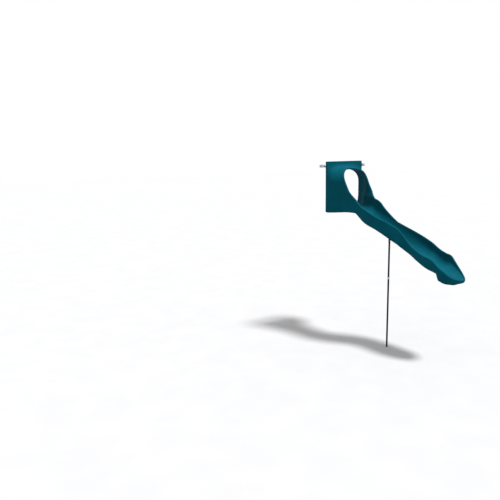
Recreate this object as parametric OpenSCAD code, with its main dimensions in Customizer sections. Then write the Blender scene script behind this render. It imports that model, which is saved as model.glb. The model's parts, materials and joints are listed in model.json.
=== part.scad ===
// Wave slide with an entry hood, for the open side of a raised play deck.
// Origin: centre of the deck flange's bolt pattern, on the face that meets the deck edge.
// +X runs down the slide, +Y is the rider's left, +Z is up. Millimetres.

/* [Deck and heights] */
// Height of the deck surface above grade
deck_h = 1524; // [1200:4:1800]
// Height of the bed at the exit lip above grade
exit_h = 235; // [180:5:330]
// Deck surface above the centre of the flange's bolt pattern
deck_rise = 45; // [40:1:60]

/* [Chute path in plan] */
// Straight length from the deck edge to the first bend
lead_in = 1145; // [1000:5:1400]
// Centreline radius of both bends
bend_r = 900; // [750:10:1200]
// Angle of both bends
bend_a = 44; // [20:1:50]
// Straight length from the second bend to the lip
lead_out = 1128; // [940:1:1350]

/* [Chute section] */
// Outer width of the chute
chute_w = 660; // [560:5:800]
// Thickness of the double wall
wall_t = 45; // [36:1:60]
// Thickness of each moulded skin
skin = 7; // [5:0.5:8]
// Depth of the double bed
bed_t = 46; // [40:1:60]
// Depth of the double bed under the sit-down section
entry_bed_t = 87; // [80:1:110]
// Width of the rounded corner inside the channel
trough_r = 190; // [120:5:220]
// Radius along the lower outside corners
keel_r = 45; // [20:1:80]
// Length of the rounded nose in plan
nose_l = 685; // [570:5:820]
// Distance from the lip back to the moulded foot
foot_l = 520; // [430:5:620]
// Height of the foot's underside above grade
foot_h = 125; // [80:5:150]

/* [Entry and hood] */
// Width of the entry flange and the hood panel
entry_w = 1134; // [1050:2:1180]
// Width of the doorway through the hood panel
door_w = 1000; // [900:10:1030]
// Distance from the deck edge to the back of the hood panel
panel_x = 64.5; // [60:0.5:90]
// Thickness of the hood panel
panel_t = 55; // [45:1:70]
// Top of the hood panel above the deck
panel_top = 1166; // [1050:2:1300]
// Height of the seam between chute and hood above the deck
seam_h = 276; // [240:2:320]
// Top of the doorway arch above the deck
arch_h = 971; // [880:1:1000]
// Height above the deck where the arch starts
spring_h = 620; // [500:10:700]
// Distance from the deck edge to the lowest point of the hood's rim
hood_reach = 915; // [860:5:960]
// Reach of the hood's rim at its crown
crown_reach = 335; // [280:5:400]
// Distance over which the entry narrows to the chute
flare_l = 480; // [400:10:560]
// How far the hood's sides stand out past the line of the chute's walls
hood_bulge = 60; // [0:5:80]

/* [Deck flange] */
// Width of the deck flange
flange_w = 500; // [460:10:640]
// Thickness of the flange's steel
flange_t = 6; // [5:0.5:10]
// Reach of the flange under the bed
flange_reach = 130; // [120:2:150]
// Hole spacing across the deck edge
deck_hole_y = 400; // [320:10:420]
// Hole spacing up the deck edge
deck_hole_z = 45; // [40:1:50]
// Diameter of the deck bolt holes
deck_hole_d = 11; // [10.5:0.1:13]

/* [Post clamps] */
// Diameter of the deck posts that the clamps grip
post_d = 89; // [76:1:114]
// Distance between the centres of the two posts
post_span = 1308; // [1290:2:1340]
// Height of a clamp
clamp_h = 64; // [50:2:90]
// Wall of a clamp
clamp_t = 7; // [6:0.5:12]
// Distance from the top of the panel down to a clamp's centre
clamp_drop = 110; // [80:5:200]
// Gap between the two halves of a clamp
clamp_gap = 4; // [2:0.5:6]

/* [Support leg] */
// Outer diameter of the leg
leg_d = 42; // [38:1:60]
// Wall of the leg
leg_t = 3.5; // [2.5:0.5:5]
// Distance along the path from the deck edge to the leg
leg_s = 1670; // [1500:10:1900]
// Offset of the leg towards the rider's right
leg_side = 117; // [0:1:140]
// Length of the leg below grade
leg_bury = 1710; // [600:10:1800]
// Width of the collar that marks grade on the leg
grade_w = 50; // [30:2:80]

/* [Fasteners] */
// Diameter of the bolts
bolt_d = 10; // [8:1:12]
// Outer diameter of a threaded insert
insert_d = 16; // [14.5:0.5:20]
// Length of a threaded insert
insert_l = 28; // [20:1:32]
// Clearance of an insert in its hole, and of a bolt in an insert
snug = 0.1; // [0.05:0.05:0.2]
// Clearance of a bolt in a plain hole
loose = 0.5; // [0.3:0.1:1]
// Thickness of a washer
washer_t = 2; // [1.5:0.5:3]
// Diameter of the dowels in the seam
dowel_d = 12; // [10:1:16]

/* [Hidden] */
$fn = 48;

teal = [0.08, 0.36, 0.43];
navy = [0.03, 0.06, 0.12];
casting = [0.72, 0.73, 0.74];
zinc = [0.62, 0.63, 0.65];
brass = [0.72, 0.58, 0.3];
black = [0.08, 0.08, 0.08];

deck_z = deck_rise;
grade_z = deck_z - deck_h;
seam_z = deck_z + seam_h;
front_x = panel_x + panel_t;
half_w = chute_w / 2;
drop = deck_h - exit_h;
arc_l = PI * bend_r * bend_a / 180;
path_l = lead_in + 2 * arc_l + lead_out;
foot_s = path_l - foot_l;
nose_s = path_l - nose_l;

// The wave: share of the path, share of the drop, right wall and left wall above the bed
wave = [
    [0.000, 0.000, seam_h, seam_h], [0.240, 0.000, seam_h, seam_h],
    [0.274, 0.050, 277, 322], [0.301, 0.103, 278, 343], [0.343, 0.180, 295, 345],
    [0.383, 0.235, 270, 325], [0.424, 0.312, 292, 335], [0.465, 0.406, 324, 363],
    [0.506, 0.502, 339, 396], [0.548, 0.563, 300, 370], [0.588, 0.613, 243, 343],
    [0.629, 0.661, 195, 313], [0.670, 0.709, 181, 283], [0.711, 0.760, 195, 258],
    [0.752, 0.813, 205, 254], [0.793, 0.853, 228, 259], [0.835, 0.877, 206, 254],
    [0.876, 0.909, 130, 163], [0.909, 0.936, 88, 102], [0.941, 0.963, 42, 58],
    [0.974, 0.987, 14, 18], [1.000, 1.000, 6, 6]];

// The hood's rim: share of the height from seam to crown, share of the reach from crown to seam
rim_line = [[-0.06, 1.13], [0, 1], [0.08, 0.87], [0.24, 0.7], [0.47, 0.5], [0.71, 0.34],
    [0.85, 0.25], [0.95, 0.15], [1, 0]];

function lerp(a, b, t) = a + (b - a) * t;
function clamp01(t) = max(0, min(1, t));
function smooth(t) = let (c = clamp01(t)) c * c * (3 - 2 * c);
function cell(table, x, i = 0) =
    i >= len(table) - 2 || x < table[i + 1][0] ? i : cell(table, x, i + 1);
function slope(table, col, i) =
    let (a = max(0, i - 1), b = min(len(table) - 1, i + 1))
    (table[b][col] - table[a][col]) / (table[b][0] - table[a][0]);
// Smooth curve through one column of a table
function curve(table, col, x) =
    let (i = cell(table, x), a = table[i], b = table[i + 1], h = b[0] - a[0],
        t = clamp01((x - a[0]) / h), s = 1 - t,
        m0 = i == 0 ? 0 : slope(table, col, i), m1 = slope(table, col, i + 1))
    s * s * (1 + 2 * t) * a[col] + t * t * (3 - 2 * t) * b[col]
        + h * (t * s * s * m0 - t * t * s * m1);

// Heading of the path at a distance along it
function heading(s) =
    let (a = (s - lead_in) / bend_r * 180 / PI)
    a <= 0 ? 0 : a <= bend_a ? a : max(0, 2 * bend_a - a);
// Point of the path in plan
function path(s) =
    let (h = heading(s), e = 2 * bend_r * sin(bend_a))
    s <= lead_in ? [s, 0]
    : s <= lead_in + arc_l ? [lead_in + bend_r * sin(h), bend_r * (1 - cos(h))]
    : s <= lead_in + 2 * arc_l
        ? [lead_in + e - bend_r * sin(h), bend_r * (1 - 2 * cos(bend_a) + cos(h))]
    : [lead_in + e + s - lead_in - 2 * arc_l, 2 * bend_r * (1 - cos(bend_a))];

function bed_z(s) = deck_z - drop * curve(wave, 1, s / path_l);
function wall_h(s, side) = curve(wave, side < 0 ? 2 : 3, s / path_l);
function rim_z(s, side) = s < panel_x ? deck_z : s < hood_reach ? seam_z - snug
    : bed_z(s) + wall_h(s, side);
function foot_z(s) =
    let (t = clamp01((s - foot_s) / foot_l))
    grade_z + foot_h + 60 * (1 - smooth(t * 2.2)) + 70 * smooth((t - 0.72) / 0.28);
function under_z(s) =
    let (entry = lerp(entry_bed_t, bed_t, clamp01((s - front_x) / 700)))
    lerp(bed_z(s) - entry, foot_z(s), smooth((s - foot_s) / 75));
function nose(s) = s <= nose_s ? 1 : sqrt(max(0, 1 - pow((s - nose_s) / nose_l, 2)));
function flare(s) = 1 - smooth((s - front_x) / flare_l);
function outer_w(s) = s < panel_x ? door_w / 2 : lerp(half_w, entry_w / 2, flare(s)) * nose(s);
function wall_w(s) = s < panel_x ? 20
    : min(lerp(wall_t, (entry_w - door_w) / 2, flare(s)), outer_w(s) * 0.3);
// Radius of the rolled rim, which grows out of the flat seam under the hood
rim_grow = 90;
function rim_r(s) =
    lerp(2, min(wall_w(s) / 2, 0.6 * wall_h(s, -1) + 2), smooth((s - hood_reach) / rim_grow));

// Half of the outside of a section, from the rim's top to the keel, as [across, height];
// e is the distance in from the moulded surface
function outside(s, side, e) =
    let (w = outer_w(s) - e, t = wall_w(s) / 2 - e, top = rim_z(s, side) - e,
        r = max(1, rim_r(s) - e), low = under_z(s) + e,
        k = min(max(2, keel_r - e), (top - r - low) * 0.45, w * 0.6))
    concat([for (a = [90, 45, 0]) [w - t + t * cos(a), top - r + r * sin(a)]],
        [[w, (top - r + low + k) / 2]],
        [for (a = [0, 30, 60, 90]) [w - k + k * cos(a), low + k - k * sin(a)]],
        [[20 * nose(s), low], [0, low]]);
// Half of the inside of a section, with as many points
function inside(s, side, e) =
    let (t = wall_w(s) / 2 - e, w = outer_w(s) - wall_w(s) + e, top = rim_z(s, side) - e,
        r = max(1, rim_r(s) - e), bed = bed_z(s) - e,
        across = min(trough_r, w * 0.8), up = max(0.5, (top - r - bed) * 0.96))
    concat([for (a = [90, 45, 0]) [w + t - t * cos(a), top - r + r * sin(a)]],
        [for (a = [0, 22.5, 45, 67.5, 90])
            [w - across + across * cos(a), bed + up - up * sin(a)]],
        [[20 * nose(s), bed], [0, bed]]);
function chain(right, left) = concat([for (p = right) [-p[0], p[1]]],
    [for (i = [len(left) - 2:-1:0]) left[i]]);
function place(s, p) =
    let (h = heading(s), c = path(s)) [c[0] - p[0] * sin(h), c[1] + p[0] * cos(h), p[1]];
// One ring of the chute: along the outside from the right rim to the left, back along the inside
function ring(s, e) =
    let (o = chain(outside(s, -1, e), outside(s, 1, e)),
        i = chain(inside(s, -1, e), inside(s, 1, e)))
    [for (p = concat(o, [for (k = [len(i) - 2:-1:1]) i[k]])) place(s, p)];
half_n = 9;
side_n = 2 * half_n;
ring_n = 2 * side_n;

sit_n = 9;
run_n = 28;
foot_n = 4;
nose_n = 11;
nose_a = asin((foot_s + 75 - nose_s) / nose_l);
flange_step = 0.5;
stations = concat([flange_t + 1, panel_x - flange_step, panel_x],
    [for (i = [0:sit_n]) lerp(front_x, hood_reach - 1, i / sit_n)],
    [for (i = [0:run_n]) lerp(hood_reach, foot_s, i / run_n)],
    [for (i = [1:foot_n]) foot_s + 75 * i / foot_n],
    [for (i = [1:nose_n]) nose_s + nose_l * sin(lerp(nose_a, 87, i / nose_n))]);
last = len(stations) - 1;
// The hollow runs from behind the solid entry flange to the nose
hollow_a = 4;
hollow_b = last - 6;
drain_at = 3 + sit_n + run_n - 1;

function facing(f, out) = out ? f : [for (i = [len(f) - 1:-1:0]) f[i]];
// Faces of a tube of rings a to b that start at point base, left open at the drain
function skin_faces(base, a, b, out) = [
    for (i = [a:b - 1]) for (k = [0:ring_n - 1])
        if (!(i == drain_at && (k == half_n - 1 || k == half_n)))
        let (p = base + (i - a) * ring_n, q = p + ring_n, n = (k + 1) % ring_n)
        for (f = [[p + k, q + k, q + n], [p + k, q + n, p + n]]) facing(f, out)];
// Faces that close a ring whose first point is p
function cap_faces(p, out) = [
    for (k = [0:side_n - 1])
        let (n = k + 1, ik = (ring_n - k) % ring_n, in = ring_n - n)
        for (f = k == 0 ? [[p, p + 1, p + in]]
            : k == side_n - 1 ? [[p + k, p + n, p + ik]]
            : [[p + k, p + n, p + in], [p + k, p + in, p + ik]]) facing(f, out)];
// Walls of the drain, between the outer skin at base o and the hollow's skin at base c
function drain_faces(o, c) =
    let (row = [half_n - 1, half_n, half_n + 1],
        walk = [[0, row[0]], [1, row[0]], [1, row[1]], [1, row[2]], [0, row[2]], [0, row[1]]])
    [for (j = [0:5])
        let (u = walk[j], v = walk[(j + 1) % 6], ou = o + u[0] * ring_n + u[1],
            ov = o + v[0] * ring_n + v[1], cu = c + u[0] * ring_n + u[1],
            cv = c + v[0] * ring_n + v[1])
        for (f = [[ou, ov, cv], [ou, cv, cu]]) f];

module double_wall_channel() {
    inner = (last + 1) * ring_n;
    polyhedron(
        points = concat([for (s = stations) each ring(s, 0)],
            [for (i = [hollow_a:hollow_b]) each ring(stations[i], skin)]),
        faces = concat(skin_faces(0, 0, last, true), cap_faces(0, true),
            cap_faces(last * ring_n, false),
            skin_faces(inner, hollow_a, hollow_b, false), cap_faces(inner, false),
            cap_faces(inner + (hollow_b - hollow_a) * ring_n, true),
            drain_faces(drain_at * ring_n, inner + (drain_at - hollow_a) * ring_n)));
}

// Leg's place under the bed
plate_l = 100;
plate_w = 120;
function belly(s) = place(s, [-leg_side, under_z(s)]);
leg_p = belly(leg_s);
leg_run = belly(leg_s + 30) - belly(leg_s - 30);
leg_tilt = atan2(-leg_run[2], norm([leg_run[0], leg_run[1]]));
leg_turn = atan2(leg_run[1], leg_run[0]);
module at_belly() translate(leg_p) rotate([0, 0, leg_turn]) rotate([0, leg_tilt, 0]) children();

head_h = 0.65 * bolt_d;
head_w = 1.7 * bolt_d;
module hex(h) cylinder(d = head_w / cos(30), h = h, $fn = 6);
// Bolt whose head's seat is at the origin and whose shank points up
module bolt(l) {
    translate([0, 0, -head_h]) hex(head_h);
    cylinder(d = bolt_d, h = l);
}
module washer() difference() {
    cylinder(d = 2.1 * bolt_d, h = washer_t);
    translate([0, 0, -1]) cylinder(d = bolt_d + loose, h = washer_t + 2);
}
module nut() difference() {
    hex(0.8 * bolt_d);
    translate([0, 0, -1]) cylinder(d = bolt_d + 2 * snug, h = bolt_d + 2);
}
module insert() difference() {
    cylinder(d = insert_d, h = insert_l);
    translate([0, 0, -1]) cylinder(d = bolt_d + 2 * snug, h = insert_l + 2);
}
module insert_hole() translate([0, 0, -3]) cylinder(d = insert_d + 2 * snug, h = insert_l + 4);
// Turns an upward piece to point along +X
module along_x() rotate([0, 90, 0]) children();

// Fixings between the deck flange and the bed
bed_y = [-180, 0, 180];
bed_x = flange_reach - 30;
bed_under = deck_z - entry_bed_t;
module at_bed_fixings() for (y = bed_y) translate([bed_x, y, bed_under]) children();

// Fixings of the splice plates, across the seam behind each wing
splice_t = 5;
splice_w = 46;
splice_h = 180;
splice_y = (entry_w + door_w) / 4;
splice_z = [-65, -30, 30, 65];
splice_x = panel_x - flange_step - snug;
module at_splices(above, below) for (side = [-1, 1]) for (z = splice_z)
    if ((z > 0 && above) || (z < 0 && below))
        translate([splice_x, side * splice_y, seam_z + z]) children();

// Dowels in the side walls
dowel_l = 60;
dowel_x = [250, 470, 690];
module at_dowels() for (side = [-1, 1]) for (x = dowel_x)
    translate([x, side * (outer_w(x) - wall_w(x) / 2), seam_z - dowel_l / 2]) children();

// Clamps on the posts
post_x = post_d / 2;
clamp_z = deck_z + panel_top - clamp_drop;
tab_t = 6;
tab_y = entry_w / 2 - 30;
tab_h = 38;
tab_z = -clamp_h / 2;
ear_w = 20;
ear_t = 10;
ear_c = post_d / 2 + clamp_t + ear_w / 2;
inner_bolt_z = 20;
module at_clamp_bolts() for (side = [-1, 1]) {
    translate([post_x, side * (post_span / 2 - ear_c), clamp_z + inner_bolt_z]) children();
    translate([post_x, side * (post_span / 2 + ear_c), clamp_z]) children();
}
module at_tabs() for (side = [-1, 1])
    translate([panel_x, side * tab_y, clamp_z + tab_z + tab_h / 2]) children();

module chute() color(teal) difference() {
    double_wall_channel();
    at_bed_fixings() insert_hole();
    at_splices(false, true) along_x() insert_hole();
    at_dowels() cylinder(d = dowel_d + 2 * snug, h = dowel_l);
    for (p = leg_holes) at_belly() translate(p) insert_hole();
}

arch_e = 2.4;
side_lines = 5;
arch_lines = 8;
// Half of the scoop's lines, from seam to crown, as [share of the half width, height share up
// the side, height share up the arch]
lines = concat([for (i = [0:side_lines]) [1, i / side_lines, 0]],
    [for (i = [1:arch_lines]) let (a = 90 * i / arch_lines)
        [pow(cos(a), 2 / arch_e), 1, pow(sin(a), 2 / arch_e)]]);
function line_z(l, crown) =
    seam_h + l[1] * (spring_h - seam_h) + l[2] * (crown - spring_h) + deck_z;
function rim_x(z) =
    let (share = (z - seam_z) / (deck_z + arch_h + wall_t - seam_z))
    crown_reach + (hood_reach - crown_reach) * curve(rim_line, 1, share);
// Half of the scoop's outer width on a line
function scoop_w(x, l) =
    outer_w(x) + hood_bulge * smooth((x - front_x) / flare_l * 1.5) * smooth(l[1] / 0.6);
scoop_n = 10;
line_n = 2 * (len(lines) - 1);
chain_n = 2 * scoop_n + 4;
// Step in from the panel's edge to the foot of the scoop
flange_edge = 3;
// Where a line of the scoop meets the edge of the panel
function panel_edge(l, k) =
    let (t = (k - side_lines) / arch_lines, half = entry_w / 2, top = deck_z + panel_top)
    k <= side_lines ? [half, line_z(l, arch_h)]
    : t <= 0.5 ? [half, lerp(deck_z + spring_h, top, 2 * t)]
    : [lerp(half, 0, 2 * t - 1), top];
// One loop of the hood's surface: out along the inside of the scoop, back along its outside
// and round the panel's edge
function hood_loop(k, side) =
    let (l = lines[k], zo = line_z(l, arch_h + wall_t), zi = line_z(l, arch_h),
        far = rim_x(zo) - 1, e = panel_edge(l, k))
    concat([for (i = [0:scoop_n]) let (x = lerp(panel_x, far, i / scoop_n))
            [x, side * l[0] * (scoop_w(x, l) - wall_w(x)), zi]],
        [for (i = [scoop_n:-1:0]) let (x = lerp(front_x, far, i / scoop_n))
            [x, side * l[0] * (scoop_w(x, l) - (i == 0 ? flange_edge : 0)), zo]],
        [[front_x, side * e[0], e[1]], [panel_x, side * e[0], e[1]]]);
module hood_shell() {
    half = len(lines) - 1;
    loops = concat([for (k = [0:half]) hood_loop(k, -1)],
        [for (k = [half - 1:-1:0]) hood_loop(k, 1)]);
    polyhedron(
        points = [for (r = loops) each r],
        faces = concat(
            [for (j = [0:line_n - 1]) for (i = [0:chain_n - 1])
                let (a = j * chain_n + i, b = j * chain_n + (i + 1) % chain_n,
                    c = b + chain_n, d = a + chain_n)
                for (f = [[a, b, c], [a, c, d]]) f],
            [for (j = [0, line_n]) for (i = [0:scoop_n])
                let (p = j * chain_n, a = p + i, b = p + (i == 0 ? chain_n - 1 : i - 1),
                    d = p + 2 * scoop_n + 1 - i, c = d + 1)
                for (f = [[a, b, c], [a, c, d]]) facing(f, j == 0)]));
}
module hood() color(teal) difference() {
    hood_shell();
    at_splices(true, false) along_x() insert_hole();
    at_tabs() along_x() insert_hole();
    at_dowels() cylinder(d = dowel_d + 2 * snug, h = dowel_l);
}

module deck_flange() color(navy) difference() {
    low = bed_under - flange_t;
    union() {
        translate([0, -flange_w / 2, low]) cube([flange_t, flange_w, deck_z - 9 - low]);
        translate([0, -flange_w / 2, low]) cube([flange_reach, flange_w, flange_t]);
    }
    for (y = [-1, 1]) for (z = [-1, 1])
        translate([-1, y * deck_hole_y / 2, z * deck_hole_z / 2]) along_x()
            cylinder(d = deck_hole_d, h = flange_t + 2);
    at_bed_fixings() translate([0, 0, -flange_t - 1])
        cylinder(d = bolt_d + 2 * loose, h = flange_t + 2);
}
module bed_bolts() color(zinc) at_bed_fixings()
    translate([0, 0, -flange_t - washer_t]) bolt(flange_t + washer_t + insert_l - 4);
module bed_washers() color(zinc) at_bed_fixings()
    translate([0, 0, -flange_t - washer_t]) washer();
module bed_inserts() color(brass) at_bed_fixings() insert();

module seam_dowels() color(zinc) at_dowels()
    translate([0, 0, 1]) cylinder(d = dowel_d, h = dowel_l - 2);
module splice_plate(side) color(zinc) difference() {
    translate([splice_x - splice_t, side * splice_y - splice_w / 2, seam_z - splice_h / 2])
        cube([splice_t, splice_w, splice_h]);
    for (z = splice_z) translate([splice_x - splice_t - 1, side * splice_y, seam_z + z])
        along_x() cylinder(d = bolt_d + 2 * loose, h = splice_t + 2);
}
module splice_plate_right() splice_plate(-1);
module splice_plate_left() splice_plate(1);
module splice_bolts() color(zinc) at_splices(true, true) along_x()
    translate([0, 0, -splice_t - washer_t]) bolt(splice_t + washer_t + insert_l - 4);
module splice_washers() color(zinc) at_splices(true, true) along_x()
    translate([0, 0, -splice_t - washer_t]) washer();
module splice_inserts() color(brass) at_splices(true, true) along_x() insert();

// Half of a clamp about the origin, on the +X side, for a post whose panel lies towards +Y
module clamp_half() difference() {
    union() {
        cylinder(d = post_d + 2 * clamp_t, h = clamp_h, center = true);
        for (y = [-1, 1]) translate([0, y * (ear_c - 3), 0])
            cube([2 * (ear_t + clamp_gap / 2), ear_w + 6, clamp_h], center = true);
    }
    cylinder(d = post_d, h = clamp_h + 2, center = true);
    translate([-post_d, -post_d * 2, -clamp_h])
        cube([post_d + clamp_gap / 2, post_d * 4, clamp_h * 2]);
    translate([0, ear_c, inner_bolt_z]) along_x() cylinder(d = bolt_d + 2 * loose, h = post_d);
    translate([0, -ear_c, 0]) along_x() cylinder(d = bolt_d + 2 * loose, h = post_d);
}
module tab() {
    reach = post_span / 2 - tab_y + 20;
    root = post_d / 2 + clamp_t + ear_w - 2;
    back = panel_x - post_x;
    difference() {
        union() {
            translate([back - tab_t, root - 8, tab_z]) cube([tab_t, reach - root + 8, tab_h]);
            translate([clamp_gap / 2 + 1, root - 8, tab_z])
                cube([back - clamp_gap / 2 - 1, 8, tab_h]);
        }
        translate([0, post_span / 2 - tab_y, tab_z + tab_h / 2]) along_x()
            cylinder(d = bolt_d + 2 * loose, h = post_d);
    }
}
module at_post(side) mirror([0, side > 0 ? 1 : 0, 0])
    translate([post_x, -post_span / 2, clamp_z]) children();
module clamp_front(side) color(casting) at_post(side) { clamp_half(); tab(); }
module clamp_back(side) color(casting) at_post(side) mirror([1, 0, 0]) clamp_half();
module clamp_right_front() clamp_front(-1);
module clamp_right_back() clamp_back(-1);
module clamp_left_front() clamp_front(1);
module clamp_left_back() clamp_back(1);
grip = 2 * ear_t + clamp_gap;
module clamp_bolts() color(zinc) at_clamp_bolts() along_x()
    translate([0, 0, -grip / 2 - washer_t]) bolt(grip + 2 * washer_t + bolt_d);
module clamp_washers() color(zinc) at_clamp_bolts() along_x() {
    translate([0, 0, -grip / 2 - washer_t]) washer();
    translate([0, 0, grip / 2]) washer();
}
module clamp_nuts() color(zinc) at_clamp_bolts() along_x()
    translate([0, 0, grip / 2 + washer_t]) nut();
module tab_bolts() color(zinc) at_tabs() along_x()
    translate([0, 0, -tab_t - washer_t]) bolt(tab_t + washer_t + insert_l - 4);
module tab_washers() color(zinc) at_tabs() along_x()
    translate([0, 0, -tab_t - washer_t]) washer();
module tab_inserts() color(brass) at_tabs() along_x() insert();

// The leg's bracket, in the frame of the sloping bed above it
pad_t = 3;
plate_t = 6;
// Deepest point of the bed's underside below the pad's plane, over the length of the plate
sag = max([for (d = [-plate_l / 2:5:plate_l / 2])
    (leg_p[2] - d * tan(leg_tilt) - under_z(leg_s + d)) * cos(leg_tilt)]);
seat = sag + 0.3;
plate_low = -seat - pad_t - plate_t;
leg_holes = [for (x = [-1, 1]) for (y = [-1, 1])
    [x * (plate_l / 2 - 22), y * (plate_w / 2 - 18), 0]];
socket_t = 4;
socket_l = 120;
leg_top = leg_p[2] - 42;
cross_z = leg_p[2] - 85;
leg_low = grade_z - leg_bury;
module leg_holes_cut(low, h) for (p = leg_holes)
    translate([p[0], p[1], low]) cylinder(d = bolt_d + 2 * loose, h = h);
module at_cross() translate([leg_p[0], leg_p[1], cross_z]) rotate([0, 0, leg_turn])
    rotate([-90, 0, 0]) children();
module leg_bracket() color(navy) difference() {
    union() {
        at_belly() translate([-plate_l / 2, -plate_w / 2, plate_low])
            cube([plate_l, plate_w, plate_t]);
        intersection() {
            translate([leg_p[0], leg_p[1], leg_p[2] - socket_l])
                cylinder(r = leg_d / 2 + socket_t, h = socket_l);
            at_belly() translate([-socket_l, -socket_l, plate_low + plate_t / 2 - 3 * socket_l])
                cube([2 * socket_l, 2 * socket_l, 3 * socket_l]);
        }
    }
    translate([leg_p[0], leg_p[1], leg_p[2] - socket_l - 1])
        cylinder(r = leg_d / 2 + loose / 2, h = leg_top - leg_p[2] + socket_l + 3);
    at_belly() leg_holes_cut(plate_low - 1, plate_t + 2);
    at_cross() translate([0, 0, -leg_d]) cylinder(d = bolt_d + 2 * loose, h = 2 * leg_d);
}
module leg_pad() color(black) at_belly() difference() {
    translate([-plate_l / 2, -plate_w / 2, -seat - pad_t]) cube([plate_l, plate_w, pad_t]);
    leg_holes_cut(-seat - pad_t - 1, pad_t + 2);
}
module leg_bolts() color(zinc) at_belly() for (p = leg_holes)
    translate([p[0], p[1], plate_low - washer_t]) bolt(washer_t - plate_low + insert_l - 4);
module leg_washers() color(zinc) at_belly() for (p = leg_holes)
    translate([p[0], p[1], plate_low - washer_t]) washer();
module leg_inserts() color(brass) at_belly() for (p = leg_holes) translate(p) insert();
module support_leg() color(navy) difference() {
    translate([leg_p[0], leg_p[1], leg_low]) cylinder(d = leg_d, h = leg_top - leg_low);
    translate([leg_p[0], leg_p[1], leg_low - 1])
        cylinder(d = leg_d - 2 * leg_t, h = leg_top - leg_low + 2);
    at_cross() translate([0, 0, -leg_d]) cylinder(d = bolt_d + 2 * loose, h = 2 * leg_d);
}
cross_grip = leg_d + 2 * socket_t + 1;
module leg_cross_bolt() color(zinc) at_cross()
    translate([0, 0, -cross_grip / 2]) bolt(cross_grip + bolt_d);
module leg_cross_nut() color(zinc) at_cross() translate([0, 0, cross_grip / 2]) nut();
module leg_end_plug() color(black) {
    translate([leg_p[0], leg_p[1], leg_low - 4]) cylinder(d = leg_d, h = 4);
    translate([leg_p[0], leg_p[1], leg_low - 4]) cylinder(d = leg_d - 2 * leg_t - 2 * snug, h = 24);
}
module grade_collar() color(casting) difference() {
    translate([leg_p[0], leg_p[1], grade_z - grade_w / 2]) cylinder(d = leg_d + 6, h = grade_w);
    translate([leg_p[0], leg_p[1], grade_z - grade_w])
        cylinder(d = leg_d + 2 * snug, h = 2 * grade_w);
}

chute();
hood();
deck_flange();
bed_bolts();
bed_washers();
bed_inserts();
seam_dowels();
splice_plate_right();
splice_plate_left();
splice_bolts();
splice_washers();
splice_inserts();
clamp_right_front();
clamp_right_back();
clamp_left_front();
clamp_left_back();
clamp_bolts();
clamp_washers();
clamp_nuts();
tab_bolts();
tab_washers();
tab_inserts();
leg_bracket();
leg_pad();
leg_bolts();
leg_washers();
leg_inserts();
support_leg();
leg_cross_bolt();
leg_cross_nut();
leg_end_plug();
grade_collar();
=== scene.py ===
"""Looks for the wave slide: moulded chute and hood, deck flange, post clamps and support leg.

Everything is in metres in the row frame: +X runs down the slide, +Y is the rider's left, +Z is up,
and the origin is the centre of the deck flange's bolt pattern.
"""
import json
import logging
import math
from dataclasses import dataclass, field
from enum import Enum

import bpy
import numpy as np
from mathutils import Matrix, Vector


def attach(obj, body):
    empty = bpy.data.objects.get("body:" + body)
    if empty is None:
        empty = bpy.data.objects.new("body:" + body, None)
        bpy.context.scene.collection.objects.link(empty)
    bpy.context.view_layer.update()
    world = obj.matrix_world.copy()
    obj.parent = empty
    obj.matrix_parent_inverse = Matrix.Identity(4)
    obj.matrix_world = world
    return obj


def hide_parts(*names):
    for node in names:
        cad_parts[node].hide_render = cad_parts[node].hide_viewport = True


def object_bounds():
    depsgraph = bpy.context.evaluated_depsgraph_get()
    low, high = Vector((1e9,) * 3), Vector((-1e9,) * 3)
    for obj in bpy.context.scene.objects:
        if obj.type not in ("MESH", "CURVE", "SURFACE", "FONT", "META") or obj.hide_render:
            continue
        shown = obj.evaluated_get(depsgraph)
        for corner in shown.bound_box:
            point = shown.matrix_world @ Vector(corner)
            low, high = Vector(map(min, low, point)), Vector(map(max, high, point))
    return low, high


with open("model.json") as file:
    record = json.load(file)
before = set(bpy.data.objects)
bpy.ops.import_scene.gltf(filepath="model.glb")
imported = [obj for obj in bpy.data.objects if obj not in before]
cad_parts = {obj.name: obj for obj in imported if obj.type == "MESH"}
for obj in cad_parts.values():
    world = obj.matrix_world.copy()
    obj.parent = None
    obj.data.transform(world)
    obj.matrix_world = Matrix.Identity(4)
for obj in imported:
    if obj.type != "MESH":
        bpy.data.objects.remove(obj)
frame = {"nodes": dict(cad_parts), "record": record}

LOG = logging.getLogger("wave_slide")
CAD_BOX = [list(corner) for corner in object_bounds()]
MM = 0.001


class Slot(Enum):
    """The record's material slots."""

    TEAL = "teal_polyethylene"
    NAVY = "navy_powder_coat"
    CASTING = "cast_aluminium"
    ZINC = "zinc_steel"
    BRASS = "brass"
    RUBBER = "black_rubber"


class Side(Enum):
    """A rider's right and left, as the sign of Y."""

    RIGHT = -1
    LEFT = 1


# --------------------------------------------------------------------------- shader maths


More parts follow.
